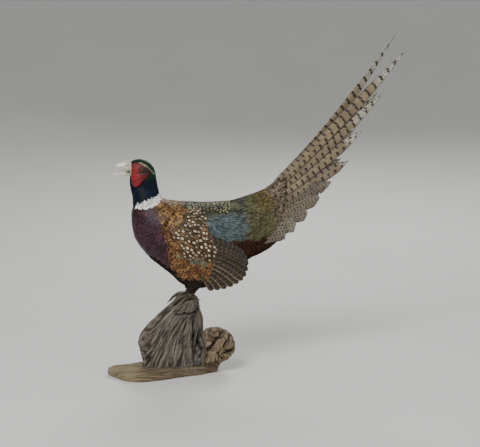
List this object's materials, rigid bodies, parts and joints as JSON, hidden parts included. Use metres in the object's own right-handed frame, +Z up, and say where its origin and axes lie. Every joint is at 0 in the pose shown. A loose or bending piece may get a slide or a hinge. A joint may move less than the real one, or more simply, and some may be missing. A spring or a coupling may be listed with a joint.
{
  "type": "taxidermy ring-necked pheasant cock on driftwood",
  "caption": "Life-size taxidermy ring-necked pheasant cock, head up with open bill and long raised tail, standing on a fan-shaped piece of driftwood.",
  "frame": {"origin": "on the flat underside of the driftwood, below the front of the bird's breast and feet, in the plane of the bird's midline", "axes": "+Z up, the bird faces -X and its tail rises towards +X and +Z, its left side faces -Y"},
  "size_m": [0.6288, 0.1456, 0.7056],
  "materials": {
    "crown_feathers": "dark bottle-green feathers with a slight gloss",
    "neck_feathers": "glossy blue-black feathers",
    "collar_feathers": "matt white feathers",
    "body_feathers": "copper and gold feathers with dark edges",
    "rump_feathers": "loose slate and olive feathers",
    "tail_feathers": "buff feathers with dark bars",
    "bill": "ivory horn",
    "tongue": "dry cream tongue",
    "eye": "brown glass eye",
    "wattle": "red pimpled skin",
    "wing_feathers": "tan feathers with cream spots",
    "flight_feathers": "dark brown quills with buff bars",
    "thigh_feathers": "dark brown feathers",
    "leg_scales": "grey-brown scaled skin",
    "driftwood": "weathered grey-brown wood"
  },
  "bodies": {
    "root": {"head": "crown_feathers", "neck": "neck_feathers", "collar": "collar_feathers", "trunk": "body_feathers", "rump": "rump_feathers", "tail": "tail_feathers", "upper_bill": "bill", "lower_bill": "bill", "tongue": "tongue", "eye_left": "eye", "eye_right": "eye", "wattle_left": "wattle", "wattle_right": "wattle", "wing_left": "wing_feathers", "wing_right": "wing_feathers", "flight_feathers_left": "flight_feathers", "flight_feathers_right": "flight_feathers", "thigh_left": "thigh_feathers", "thigh_right": "thigh_feathers", "leg_left": "leg_scales", "leg_right": "leg_scales", "foot_left": "leg_scales", "foot_right": "leg_scales", "driftwood": "driftwood"}
  },
  "joints": []
}
